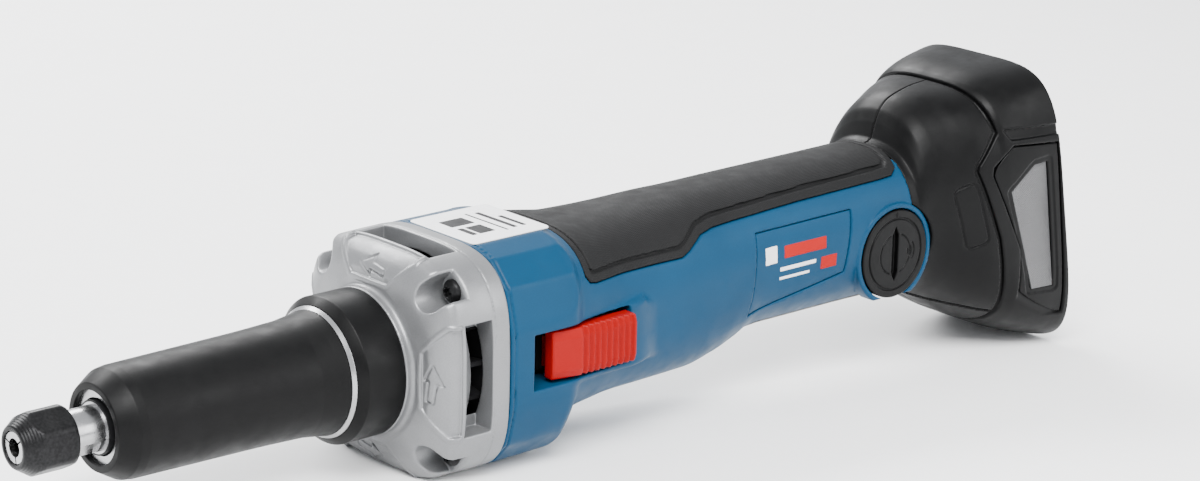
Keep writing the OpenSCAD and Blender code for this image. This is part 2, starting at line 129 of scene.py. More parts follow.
def smooth_step(x, low, high):
    t = np.clip((x - low) / (high - low), 0, 1)
    return t * t * (3 - 2 * t)


class Stations:
    """A form given by cross-sections along X, joined by monotone cubics.

    Each row is place, half width, top, bottom, squareness and slant, which is how far a section leans per Z.
    """

    def __init__(self, rows):
        table = np.array(rows, float)
        self.x = table[:, 0]
        self.y = table[:, 1:]
        step = np.diff(self.x)[:, None]
        slope = np.diff(self.y, axis=0) / step
        self.m = np.zeros_like(self.y)
        flat = slope[:-1] * slope[1:] <= 0
        harmonic = 2 * slope[:-1] * slope[1:] / np.where(flat, 1, slope[:-1] + slope[1:])
        self.m[1:-1] = np.where(flat, 0, harmonic)
        self.m[0], self.m[-1] = slope[0], slope[-1]

    def at(self, s, column):
        """One column's value at each place."""
        i = np.clip(np.searchsorted(self.x, s) - 1, 0, len(self.x) - 2)
        h = self.x[i + 1] - self.x[i]
        t = np.clip((s - self.x[i]) / h, 0, 1)
        a, b = self.y[i, column], self.y[i + 1, column]
        p, q = self.m[i, column] * h, self.m[i + 1, column] * h
        from_a = ((2 * t - 3) * t * t + 1) * a + ((t - 2) * t + 1) * t * p
        return from_a + (3 - 2 * t) * t * t * b + (t - 1) * t * t * q

    def place(self, x, z):
        """The leaning section that each point lies on."""
        s = x
        for _ in range(3):
            s = x + self.at(s, 4) * z
        return s

    def field(self, x, y, z, inset=0.0):
        """Roughly the distance to the form, made smaller by inset."""
        s = self.place(x, z)
        a = self.at(s, 0) - inset
        top, bottom = self.at(s, 1) - inset, self.at(s, 2) + inset
        n = self.at(s, 3)
        middle, b = (top + bottom) / 2, (top - bottom) / 2
        g = (np.abs(y / a) ** n + np.abs((z - middle) / b) ** n) ** (1 / n) + 1e-9
        rho = np.hypot(y, z - middle)
        return rho - rho / g


BODY = Stations([
    [164, 38.0, 38.2, -28.8, 4.2, 0], [186, 38.0, 38.2, -28.8, 4.0, 0], [192, 37.6, 38.1, -28.6, 3.8, 0],
    [197, 36.6, 37.4, -28.5, 3.3, 0], [203, 35.5, 36.4, -28.4, 3.0, 0], [212, 33.8, 35.2, -28.3, 2.8, 0],
    [222, 32.0, 34.3, -28.3, 2.6, 0], [240, 30.2, 34.4, -28.6, 2.5, 0], [262, 28.6, 34.9, -28.4, 2.5, 0],
    [275, 27.5, 35.1, -26.4, 2.4, 0], [284, 26.8, 35.2, -23.4, 2.4, 0], [292, 26.3, 35.3, -20.2, 2.4, 0],
    [300, 26.0, 35.4, -19.7, 2.4, 0], [340, 26.0, 35.7, -19.7, 2.4, 0], [366, 26.4, 35.9, -19.9, 2.4, 0],
])
FOOT = Stations([[160, 37.6, 36, -38.0, 4.2, 0], [196, 37.2, 36, -38.2, 3.8, 0]])
BULB = Stations([
    [364, 26.3, 35.9, -19.9, 2.4, 0], [366, 26.4, 35.9, -19.9, 2.4, 0], [369, 26.6, 37.0, -20.0, 2.4, 0],
    [371, 26.9, 43.0, -20.2, 2.3, 0], [374, 27.4, 48.0, -20.6, 2.3, 0.01], [379, 28.8, 51.2, -22.0, 2.3, 0.03],
    [386, 31.2, 53.0, -26.2, 2.4, 0.06], [394, 33.8, 54.2, -32.2, 2.6, 0.11], [401, 35.8, 54.8, -36.8, 2.8, 0.15],
    [408, 37.0, 55.2, -40.6, 3.1, SLOPE], [412, 37.5, 57.2, -42.6, 3.4, SLOPE],
    [421, 38.1, 59.7, -46.2, 3.8, SLOPE], [430, 38.4, 60.9, -48.6, 4.2, SLOPE],
    [438.2, 38.5, 61.6, -50.2, 4.5, SLOPE], [446, 38.5, 61.6, -50.2, 4.5, SLOPE],
])
# Outlines in X and Z.
SEAM = [(398.4, 90), (398.4, 55), (401, 41), (392.4, 30), (391.6, 27.5), (403, 0), (411, -30), (415.5, -90)]
LOWER_SEAM = [(418, -32.7), (407, -30.5), (390, -25.9), (376, -21), (366, -16.5)]
GRIP_EDGE = [(200, 60), (200.6, 33), (200.8, 24), (202.6, 21.6), (206, 20.8), (250.5, 19.6), (254.5, 21),
             (262, 25), (268.4, 26), (313, 27.5), (354, 28.2), (360.5, 28.6), (364.3, 30.5), (366.4, 35),
             (366.6, 60)]
LABEL_EDGE = [(287.8, 20.6), (335.2, 21), (331.8, -1.2), (285.3, -8.8)]
FRAME_EDGE = [(431.4, 34), (408.3, 35.6), (399.2, 28.3), (398.8, 25.3), (401.3, 20), (414, -5.3), (417.3, -29),
              (418, -34), (441.6, -36)]
MESH_EDGE = [(419.6, 26.6), (426.3, 27), (434.2, -23.3), (422.7, -22.7), (408.2, 17.7)]


# ---------------------------------------------------------------- meshes from fields

CORNERS = np.array([(i, j, k) for i in (0, 1) for j in (0, 1) for k in (0, 1)])
EDGES = [(a, b) for a in range(8) for b in range(a + 1, 8) if np.abs(CORNERS[a] - CORNERS[b]).sum() == 1]


def grid_values(field, low, step, shape):
    """Field values on a grid, worked out in full only in the blocks near the surface."""
    size = 8
    counts = [-(-n // size) for n in shape]
    corner = [l + step * size * np.arange(c) for l, c in zip(low, counts)]
    middle = [c + step * (size - 1) / 2 for c in corner]
    rough = field(*np.meshgrid(*middle, indexing="ij")).astype(np.float32)
    blocks = np.broadcast_to(rough[:, :, :, None, None, None], rough.shape + (size,) * 3).copy()
    near = np.argwhere(np.abs(rough) < step * size * 1.9)
    inner = step * np.arange(size)
    offset = np.stack(np.meshgrid(inner, inner, inner, indexing="ij"), 0)[:, None]
    for start in range(0, len(near), 800):
        group = near[start:start + 800]
        place = [corner[i][group[:, i]][:, None, None, None] + offset[i] for i in range(3)]
        blocks[tuple(group.T)] = field(*place)
    whole = blocks.transpose(0, 3, 1, 4, 2, 5).reshape([c * size for c in counts])
    return whole[:shape[0], :shape[1], :shape[2]]


def net(values, low, step):
    """Vertices and quads of the zero surface of a grid of values."""
    inside = values < 0
    last = np.array(inside.shape) - 1
    filled = sum(inside[tuple(slice(c, c + n) for c, n in zip(corner, last))].astype(np.int8)
                 for corner in CORNERS)
    cells = np.argwhere((filled > 0) & (filled < 8))
    at = [values[tuple((cells + c).T)].astype(float) for c in CORNERS]
    total, count = np.zeros((len(cells), 3)), np.zeros(len(cells))
    for a, b in EDGES:
        crossed = (at[a] < 0) != (at[b] < 0)
        t = np.where(crossed, at[a] / np.where(crossed, at[a] - at[b], 1), 0)
        total += crossed[:, None] * (CORNERS[a] + (CORNERS[b] - CORNERS[a]) * t[:, None])
        count += crossed
    points = low + step * (cells + total / count[:, None])
    number = np.full(filled.shape, -1)
    number[tuple(cells.T)] = np.arange(len(cells))
    quads = []
    for axis in range(3):
        u, v = (axis + 1) % 3, (axis + 2) % 3
        near = [slice(1, -1)] * 3
        near[axis] = slice(0, -1)
        far = list(near)
        far[axis] = slice(1, None)
        starts = inside[tuple(near)]
        flips = starts != inside[tuple(far)]
        edge = np.argwhere(flips)
        edge[:, u] += 1
        edge[:, v] += 1
        outward = starts[flips]
        ring = []
        for du, dv in ((-1, -1), (0, -1), (0, 0), (-1, 0)):
            cell = edge.copy()
            cell[:, u] += du
            cell[:, v] += dv
            ring.append(number[tuple(cell.T)])
        ring = np.array(ring).T
        quads.append(np.where(outward[:, None], ring, ring[:, ::-1]))
    return points, np.concatenate(quads)


def settle(points, field, step):
    """Moves each vertex onto the true surface."""
    h = step * 0.15
    for _ in range(4):
        f = field(*points.T)
        rise = [field(*(points + d).T) - field(*(points - d).T) for d in np.eye(3) * h]
        slope = np.array(rise).T / (2 * h)
        size = np.maximum((slope ** 2).sum(1), 0.05)
        move = slope * (f / size)[:, None]
        length = np.linalg.norm(move, axis=1, keepdims=True)
        points = points - move * np.minimum(1, 0.5 * step / np.maximum(length, 1e-9))
    return points


def surface(field, low, high, step):
    """Points and quads of a field's zero surface inside a box."""
    low = np.array(low, float) - 2 * step
    shape = tuple(int(n) for n in np.ceil((np.array(high, float) + 2 * step - low) / step) + 1)
    points, quads = net(grid_values(field, low, step, shape), low, step)
    return settle(points, field, step), quads


def mesh_object(name, points, faces):
    """An object from points in millimetres and equal-sized faces."""
    mesh = bpy.data.meshes.new(name)
    sides = faces.shape[1]
    mesh.vertices.add(len(points))
    mesh.vertices.foreach_set("co", (points * MM).astype(np.float32).ravel())
    mesh.loops.add(faces.size)
    mesh.loops.foreach_set("vertex_index", faces.astype(np.int32).ravel())
    mesh.polygons.add(len(faces))
    mesh.polygons.foreach_set("loop_start", np.arange(0, faces.size, sides, dtype=np.int32))
    mesh.polygons.foreach_set("use_smooth", np.ones(len(faces), bool))
    mesh.update(calc_edges=True)
    mesh.validate()
    item = bpy.data.objects.new(name, mesh)
    bpy.context.scene.collection.objects.link(item)
    return item


def moulded(name, field, low, high, step, material, body, replaces=()):
    step = step
    dress(mesh_object(name, *surface(field, low, high, step)), material, body, replaces)


def repeated(name, field, low, high, step, places, material, body, replaces):
    """One piece made of a small form set at several places."""
    points, quads = surface(field, low, high, step)
    whole = np.concatenate([points + np.array(place) for place in places])
    faces = np.concatenate([quads + i * len(points) for i in range(len(places))])
    dress(mesh_object(name, whole, faces), material, body, replaces)


def dress(item, material, body, replaces=()):
    """Gives a piece its finish, its body and the CAD nodes that it stands for."""
    item.data.materials.clear()
    item.data.materials.append(material[0])
    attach(item, body)
    if replaces:
        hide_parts(*replaces)


def lathe(name, profile, material, body, replaces=(), segments=192):
    """A closed profile of (radius, X) turned about the spindle axis."""
    turn = np.arange(segments) * 2 * math.pi / segments
    r, x = np.repeat(np.array(profile, float).T[:, :, None], segments, 2)
    points = np.stack([x, r * np.cos(turn), r * np.sin(turn)], -1).reshape(-1, 3)
    rings = len(profile)
    i, j = np.meshgrid(np.arange(rings), np.arange(segments), indexing="ij")
    i2, j2 = (i + 1) % rings, (j + 1) % segments
    faces = np.stack([ring * segments + place for ring, place in ((i, j), (i2, j), (i2, j2), (i, j2))], -1)
    dress(mesh_object(name, points, faces.reshape(-1, 4)), material, body, replaces)


def eased(points, radius=0.4, steps=5):
    """A closed outline with its corners rounded."""
    result = []
    points = [np.array(p, float) for p in points]
    for before, here, after in zip(points[-1:] + points[:-1], points, points[1:] + points[:1]):
        to_before, to_after = before - here, after - here
        lb, la = np.linalg.norm(to_before), np.linalg.norm(to_after)
        reach = min(radius, lb * 0.45, la * 0.45)
        a, b = here + to_before / lb * reach, here + to_after / la * reach
        for t in np.linspace(0, 1, steps):
            result.append(a * (1 - t) ** 2 + here * 2 * t * (1 - t) + b * t * t)
    return result


# ---------------------------------------------------------------- materials

def material(name, slot, colour, roughness, metallic=0.0, grain=0.5, relief=0.02, mottle=0.08, pattern=None,
             coat=0.0, specular=0.11, rough_range=0.08):
    """A procedural finish and its slot.

    grain and relief are the size and depth of the surface texture in millimetres, mottle is how far the colour
    wanders, and pattern replaces the grain by ridges.
    """
    made = bpy.data.materials.new(name)
    made.use_nodes = True
    nodes, links = made.node_tree.nodes, made.node_tree.links
    shader = nodes["Principled BSDF"]
    shader.inputs["Metallic"].default_value = metallic
    shader.inputs["Coat Weight"].default_value = coat
    shader.inputs["Coat Roughness"].default_value = 0.2
    shader.inputs["Specular IOR Level"].default_value = specular
    place = nodes.new("ShaderNodeTexCoord").outputs["Object"]

    def noise(scale, detail, distortion=0.0):
        n = nodes.new("ShaderNodeTexNoise")
        n.inputs["Scale"].default_value = scale
        n.inputs["Detail"].default_value = detail
        n.inputs["Distortion"].default_value = distortion
        links.new(place, n.inputs["Vector"])
        return n.outputs["Fac"]

    def ranged(value, low, high, start=0.3, end=0.7):
        n = nodes.new("ShaderNodeMapRange")
        n.inputs["From Min"].default_value, n.inputs["From Max"].default_value = start, end
        n.inputs["To Min"].default_value, n.inputs["To Max"].default_value = low, high
        links.new(value, n.inputs["Value"])
        return n.outputs["Result"]

    def maths(kind, a, b):
        n = nodes.new("ShaderNodeMath")
        n.operation = kind
        for value, socket in zip((a, b), n.inputs):
            if isinstance(value, (int, float)):
                socket.default_value = value
            else:
                links.new(value, socket)
        return n.outputs[0]

    fine = noise(1000 / grain, 2)
    broad = noise(28, 3, 0.4)
    shade = maths("MULTIPLY", ranged(broad, 1 - mottle, 1 + mottle), ranged(fine, 1 - mottle, 1 + mottle))
    tint = nodes.new("ShaderNodeMix")
    tint.data_type = "RGBA"
    tint.inputs["A"].default_value = (0, 0, 0, 1)
    tint.inputs["B"].default_value = (*[c * 2 for c in colour], 1)
    links.new(maths("MULTIPLY", shade, 0.5), tint.inputs["Factor"])
    links.new(tint.outputs["Result"], shader.inputs["Base Color"])
    shine = ranged(noise(160, 4), roughness - rough_range, roughness + rough_range)
    links.new(shine, shader.inputs["Roughness"])
    height = pattern(nodes, links, place, maths, fine) if pattern else fine
    bump = nodes.new("ShaderNodeBump")
    bump.inputs["Distance"].default_value = relief * MM
    bump.inputs["Strength"].default_value = 1.0
    links.new(height, bump.inputs["Height"])
    links.new(bump.outputs["Normal"], shader.inputs["Normal"])
    return made, slot


def wave_pattern(directions, pitch):
    """Ridges across one direction or crossed over several, spaced by pitch in millimetres."""

    def build(nodes, links, place, maths, fine):
        def ridges(vector):
            dot = nodes.new("ShaderNodeVectorMath")
            dot.operation = "DOT_PRODUCT"
            dot.inputs[1].default_value = tuple(c * 2 * math.pi / (pitch * MM) for c in vector)
            links.new(place, dot.inputs[0])
            return maths("SINE", dot.outputs["Value"], 0)

        height = 1.0
        for vector in directions:
            height = maths("MULTIPLY", height, ridges(vector))
        return maths("ADD", height, maths("MULTIPLY", fine, 0.5))

    return build


# Name, slot, colour, roughness, metallic, grain, relief, mottle.
BLACK_STEEL = material("black_oxide", "black_steel", (0.012, 0.012, 0.0125), 0.36, 0.6, 0.9, 0.012, 0.3)
BRIGHT_STEEL = material("satin_steel", "bright_steel", (0.36, 0.36, 0.365), 0.26, 1.0, 0.3, 0.002, 0.06)
BEARING = material("bearing_steel", "bearing_steel", (0.5, 0.505, 0.515), 0.2, 1.0, 0.3, 0.001, 0.04)
LAMINATION = material("lamination", "electrical_steel", (0.34, 0.35, 0.37), 0.45, 0.9, 0.4, 0.01, 0.1,
                      wave_pattern([(1, 0, 0)], 0.8))
MAGNET = material("magnet_plate", "magnet", (0.3, 0.31, 0.33), 0.35, 0.9, 0.5, 0.004, 0.08)
COPPER = material("enamelled_copper", "copper", (0.62, 0.25, 0.09), 0.3, 0.9, 0.4, 0.05, 0.1,
                  wave_pattern([(0, 1, 1)], 0.9))
CAST = material("cast_aluminium", "cast_aluminium", (0.205, 0.208, 0.213), 0.4, 0.65, 0.42, 0.022, 0.06)
SLEEVE_SKIN = material("sleeve_rubber", "sleeve_rubber", (0.0022, 0.0022, 0.0023), 0.46, 0, 0.42, 0.02, 0.12)
WHITE_INK = material("white_ink", "label_foil", (0.7, 0.7, 0.7), 0.45, 0, 0.5, 0.004, 0.04)
RED_INK = material("red_ink", "red_plastic", (0.3, 0.002, 0.0015), 0.45, 0, 0.5, 0.004, 0.04)
BLACK_INK = material("black_ink", "black_plastic", (0.012, 0.012, 0.013), 0.5, 0, 0.5, 0.004, 0.1)
COLLAR_SKIN = material("collar_plastic", "collar_plastic", (0.002, 0.002, 0.0021), 0.42, 0, 0.42, 0.018, 0.12)
FAN_SKIN = material("glass_filled", "fan_plastic", (0.006, 0.006, 0.0065), 0.5, 0, 0.5, 0.02, 0.15)
BLUE = material("blue_plastic", "blue_plastic", (0.0017, 0.034, 0.078), 0.4, 0, 0.42, 0.016, 0.07)
GRIP = material("grip_rubber", "grip_rubber", (0.0078, 0.0078, 0.008), 0.6, 0, 0.5, 0.05, 0.1,
                wave_pattern([(0.8, 0.6, 0.55), (0.8, -0.6, -0.55)], 1.15))
FOIL = material("label_foil", "label_foil", (0.78, 0.78, 0.79), 0.3, 0, 0.6, 0.004, 0.02)
BLACK = material("black_plastic", "black_plastic", (0.0016, 0.0016, 0.0017), 0.4, 0, 0.4, 0.016, 0.12)
RED = material("red_plastic", "red_plastic", (0.22, 0.0006, 0.0005), 0.36, 0, 0.5, 0.008, 0.04)
ROD = material("switch_plastic", "rod_plastic", (0.006, 0.006, 0.0065), 0.4, 0, 0.4, 0.01, 0.1)
BOARD = material("solder_mask", "board", (0.02, 0.13, 0.06), 0.35, 0, 0.8, 0.01, 0.08, coat=0.3)
WIRE = material("silicone", "wire", (0.03, 0.03, 0.032), 0.5, 0, 0.5, 0.01, 0.1)
MESH = material("woven_wire", "filter_mesh", (0.16, 0.16, 0.163), 0.4, 0.8, 0.3, 0.2, 0.06,
                wave_pattern([(1, 0, 0.18), (-0.18, 0, 1)], 0.75))
TERMINAL = material("terminal_plastic", "terminal_plastic", (0.02, 0.02, 0.022), 0.42, 0, 0.4, 0.01, 0.1)
CONTACT = material("contact_plate", "contact_brass", (0.72, 0.55, 0.27), 0.25, 1.0, 0.3, 0.002, 0.05)

CAD_FINISH = {
    "collet": BRIGHT_STEEL, "spindle": BRIGHT_STEEL, "neck_tube": BRIGHT_STEEL, "motor_shaft": BRIGHT_STEEL,
    "front_bearing_outer": BEARING, "front_bearing_inner": BEARING, "mid_bearing_outer": BEARING,
    "mid_bearing_inner": BEARING, "rear_bearing_outer": BEARING, "rear_bearing_inner": BEARING,
    "bearing_balls": BEARING, "rotor_core": LAMINATION, "stator_core": LAMINATION, "rotor_magnets": MAGNET,
    "stator_windings": COPPER, "fan": FAN_SKIN, "motor_carrier": FAN_SKIN, "labyrinth_ring": ROD,
    "cover_seal": SLEEVE_SKIN, "switch_rod": ROD, "switch_module": BLACK, "control_tray": BLACK,
    "control_board": BOARD, "motor_wires": WIRE, "battery_wires": WIRE, "module_holder": BLACK,
    "radio_module": BLACK, "rear_plate": BLACK, "battery_rails": BLACK, "terminal_block": TERMINAL,
    "battery_contacts": CONTACT, "top_label": FOIL, "side_label": BLUE, "lower_trim": BLACK,
    "filter_mesh_left": MESH, "filter_mesh_right": MESH, "collet_nut": BLACK_STEEL,
    "flange_screws": BLACK_STEEL, "housing_screws": BLACK_STEEL, "module_cover": BLACK, "slide_button": RED,
    "clamp_collar": COLLAR_SKIN, "neck_sleeve": SLEEVE_SKIN, "rear_shell_left": BLACK,
    "rear_shell_right": BLACK, "rear_frame": BLACK, "filter_frame_left": BLACK, "filter_frame_right": BLACK,
    "flange_casting": CAST, "motor_housing": BLUE, "grip_overmould": GRIP,
}
for node, finish in CAD_FINISH.items():
    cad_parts[node].data.materials.clear()
    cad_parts[node].data.materials.append(finish[0])


# ---------------------------------------------------------------- housing fields

PAD_EDGE = [(168, 11.2), (206, 10.8), (228, 12.6), (238, 7), (246, -6), (240, -12.4), (222, -12.8),
            (202, -11.8), (168, -11.4)]
# Flats on the front of the housing: their normals across and up, and their distances from the axis.
FACETS = ((0, 1, 37.9), (0.27, 0.963, 41.3), (0.72, 0.694, 44.2), (0.966, 0.26, 41.2))


def body_field(x, y, z, inset=0.0):
    """Blue body and grip as one smooth form, with facets, foot and the raised pad round the slide button."""
    foot = soft_max(FOOT.field(x, y, z, inset), x - 192.6 + inset, 4)
    d = soft_min(BODY.field(x, y, z, inset), foot, 6)
    fade = 9 * smooth_step(x, 186, 212) ** 2
    w, h = np.abs(y), np.abs(z)
    for across, up, reach in FACETS:
        d = soft_max(d, across * w + up * (z if across < 0.5 else h) - reach + inset - fade, 0.45)
    outer = -37.9 + np.maximum(x - 190, 0) * 0.105 + 0.02 * np.maximum(x - 222, 0) ** 2
    pad = soft_max(outline_field(x, z, PAD_EDGE) + 0.8, outer - y, 2.4)
    pad = np.maximum(pad + inset, y + 20)
    return np.where(y < 0, soft_min(d, pad, 1.8), d)


def housing_field(x, y, z):
    """The blue motor housing."""
    d = body_field(x, y, z)
    # the bed of the grip
    grip = outline_field(x, z, GRIP_EDGE)
    d = cut(d, np.maximum(grip - 0.25, -body_field(x, y, z, GRIP_BED)), 0.25)
    # the raised ring of the round cover, the rear end and the joint with the flange
    boss = np.hypot(x - COVER_X, z - COVER_Z) - BOSS_R
    ring = np.maximum(boss, np.maximum(COVER_Y - y, y + 20))
    d = np.minimum(np.maximum(d, x - GRIP_END_X), ring)
    d = soft_max(d, JOINT_X + 0.1 - x, 0.8)
    # the hollow for the motor and the hollow inside the grip
    d = cut(d, np.maximum(np.hypot(y, z) - MOTOR_R, x - MOTOR_END_X), 0.2)
    d = cut(d, np.maximum(body_field(x, y, z, BODY_WALL), MOTOR_END_X + 4 - x), 0.2)
    # the window of the slide button
    d = cut(d, box_field((x, y, z), *WINDOW) - 0.5, 0.4)
    # the seat of the round cover
    d = cut(d, np.maximum(boss + 1.9, y - BOSS_BACK_Y), 0.3)
    # the beds of the side label and the top label
    label = outline_field(x, z, LABEL_EDGE)
    d = cut(d, np.maximum(np.maximum(label - 0.4, y), -body_field(x, y, z, LABEL_BED)), 0.2)
    d = cut(d, box_field((x, y, z), *TOP_BED), 0.15)
    # the opening in the underside, which the lower trim closes
    d = cut(d, np.maximum(z - TRIM_Z, TRIM_X - x), 0.2)
    # the shadow line beside the flange
    return cut(d, np.maximum(np.abs(x - JOINT_X - 2.0) - 0.28, -body_field(x, y, z, 0.7)), 0.15)


def grip_field(x, y, z):
    """The rubber grip, with a groove inside its edge."""
    edge = outline_field(x, z, GRIP_EDGE)
    d = soft_max(body_field(x, y, z, -0.15), edge + 0.15, 0.7)
    d = np.maximum(d, -body_field(x, y, z, GRIP_BED - 0.1))
    groove = np.abs(edge + 3.4) - 0.55
    return cut(d, np.maximum(groove, -body_field(x, y, z, 0.75)), 0.3)


moulded("motor_housing_skin", housing_field, (164, -38.5, -38.5), (376.5, 38.5, 38.5), 0.6, BLUE, "housing",
        ["motor_housing"])
moulded("grip_skin", grip_field, (196, -36, 18), (367, 36, 38.5), 0.5, GRIP, "housing", ["grip_overmould"])


def plate_field(outline, top, bottom):
    """A thin skin on the left side of the body, between two depths below its surface."""
    def field(x, y, z):
        flat = np.maximum(outline_field(x, z, outline), y + 15)
        return np.maximum(flat, np.maximum(body_field(x, y, z, top), -body_field(x, y, z, bottom)))
    return field


def bar(x0, x1, z0, z1):
    """The outline of a plain bar."""
    return [(x0, z0), (x1, z0), (x1, z1), (x0, z1)]


moulded("side_label_skin", plate_field(LABEL_EDGE, 0.35, LABEL_BED), (284, -28, -10), (337, -22, 22), 0.4, BLUE,
        "housing", ["side_label"])
PRINTS = {
    "print_badge": (bar(291.5, 297.5, 8.6, 15), WHITE_INK), "print_word": (bar(301, 322, 9.6, 14.2), RED_INK),
    "print_line": (bar(299, 317, 5, 6.6), WHITE_INK), "print_small": (bar(299, 314, 1.8, 3), WHITE_INK),
    "print_corner": (bar(319.5, 327.5, 2, 6.8), RED_INK),
}
for name, (outline, ink) in PRINTS.items():
    (x0, z0), (x1, z1) = outline[0], outline[2]
    moulded(name, plate_field(outline, 0.27, 0.6), (x0, -28, z0), (x1, -22, z1), 0.25, ink, "housing", ())


# ---------------------------------------------------------------- rear housing

def seam_side(x, z):
    """Negative ahead of the seam between the rear shells and the rear frame."""
    return outline_field(x, z, [(300, 90)] + SEAM + [(300, -90)])


def badge_field(x, z):
    """Distance to the edge of the tilted oval badge."""
    turn = math.radians(17)
    u = (x - 391) * math.cos(turn) + (z - 10.5) * math.sin(turn)
    v = -(x - 391) * math.sin(turn) + (z - 10.5) * math.cos(turn)
    q = np.maximum(np.abs(u) - 2.2, 0), np.maximum(np.abs(v) - 10, 0)
    return np.hypot(*q) - 2.4


def shell_field(side):
    """One rear shell: its wall, the clearance for the round cover's seat, the badge and the lower seam."""
    def field(x, y, z):
        d = soft_max(BULB.field(x, y, z), seam_side(x, z) + 0.3, 0.5)
        d = np.maximum(d, GRIP_END_X - x)
        d = cut(d, BULB.field(x, y, z, REAR_WALL), 0.2)
        d = soft_max(d, -side * y + 0.08, 0.25)
        boss = np.maximum(np.hypot(x - COVER_X, z - COVER_Z) - BOSS_R - 0.3, y - BOSS_BACK_Y)
        d = cut(d, boss, 0.3)
        badge = np.maximum(np.abs(badge_field(x, z)) - 0.35, y)
        d = cut(d, np.maximum(badge, -BULB.field(x, y, z, 0.55)), 0.2)
        lower = np.abs(outline_field(x, z, LOWER_SEAM, False)) - 0.35
        return cut(d, np.maximum(lower, -BULB.field(x, y, z, 0.7)), 0.2)
    return field


for side, word in SIDES:
    low_y, high_y = (-37.5, 0) if side < 0 else (0, 37.5)
    moulded(f"rear_shell_skin_{word}", shell_field(side), (365, low_y, -46), (418, high_y, 57), 0.55, BLACK,
            "housing", [f"rear_shell_{word}"])


def frame_field(x, y, z):
    """The rear frame that holds the battery side and the filters."""
    seam = seam_side(x, z)
    d = soft_max(BULB.field(x, y, z), -seam + 0.15, 0.3)
    # the sunk edge along the seam, and the flat battery side
    d = np.where(seam > 0, cut(d, np.maximum(seam - 1.3, -BULB.field(x, y, z, 1.5)), 0.35), d)
    place = BULB.place(x, z)
    d = soft_max(d, place - PLANE_X, 0.8)
    # the core
    side = np.abs(y)
    core = np.maximum(side - 32, np.maximum(z - 47, -z - 30 - (x - 400) * 0.15))
    core = np.maximum(core, BULB.field(x, y, z, REAR_WALL))
    d = cut(d, np.maximum(core, 380 - x), 0.3)
    # the ledge above each filter
    ledge = outline_field(x, z, [(404.3, 41.8), (450, 40.2), (450, 36.4), (407.4, 37.6)])
    d = cut(d, np.maximum(np.maximum(ledge, 30 - side), -BULB.field(x, y, z, 1.0)), 0.5)
    # the bay of the rear plate and the pockets of the filters
    d = cut(d, np.maximum(BULB.field(x, y, z, 2.5), PLANE_X - 4.3 - place), 0.3)
    return cut(d, np.maximum(outline_field(x, z, FRAME_EDGE), FILTER_Y - side), 0.6)


moulded("rear_frame_skin", frame_field, (390, -38.7, -51), (448, 38.7, 62), 0.55, BLACK, "housing",
        ["rear_frame"])


def filter_field(side):
    """One filter frame with the opening for its mesh."""
    def field(x, y, z):
        d = soft_max(BULB.field(x, y, z, 0.5), outline_field(x, z, FRAME_EDGE) + 0.55, 0.7)
        d = np.maximum(d, FILTER_Y + 0.4 - side * y)
        opening = outline_field(x, z, MESH_EDGE)
        d = cut(d, opening, 0.5)
        return cut(d, np.maximum(opening - 2.2, -BULB.field(x, y, z, 0.95)), 0.4)
    return field


for side, word in SIDES:
    low_y, high_y = (-38.7, -34.5) if side < 0 else (34.5, 38.7)
    moulded(f"filter_frame_skin_{word}", filter_field(side), (398, low_y, -37), (443, high_y, 36), 0.45, BLACK,
            f"filter_{word}", [f"filter_frame_{word}"])


# ---------------------------------------------------------------- flange

CAST_FORM = Stations([
    [134.4, 25.0, 25.0, -25.0, 2.0, 0], [136.2, 32.6, 32.2, -32.2, 2.5, 0], [138.6, 36.8, 36.4, -36.4, 2.9, 0],
    [141.0, 38.9, 38.3, -38.3, 3.2, 0], [143.4, 39.2, 38.7, -38.7, 3.4, 0], [158.0, 39.2, 38.8, -38.8, 3.5, 0],
    [164.5, 38.8, 38.4, -38.4, 3.6, 0],
])
# Recessed panel and arrow on each side of the flange, along and out from its middle.
PANEL = [(-9.5, 27.6), (9.5, 27.6), (18.4, 36.6), (18.4, 42), (-18.4, 42), (-18.4, 36.6)]
ARROW = [(-6.6, 29.6), (0.4, 30.6), (0.2, 28.6), (6, 32.2), (-0.6, 35.4), (-0.4, 33.4), (-7, 32.4)]
# Hollow for the fan and ramp behind each vent, in X and radius.
CHAMBER = [(145.4, 17), (143.6, 29), (145.4, 33.4), (166, 33.4), (166, -1), (147, -1), (147, 17)]
RAMP = [(144.8, 33.7), (144.8, 37.2), (147.5, 36.4), (150.9, 34.3), (150.9, 33.7)]


def quarter(y, z):
    """Places along and out from whichever of the flange's four sides a point is on."""
    side = np.abs(y) > np.abs(z)
    along = np.where(side, np.where(y < 0, z, -z), np.where(z > 0, y, -y))
    return along, np.where(side, np.abs(y), np.abs(z))


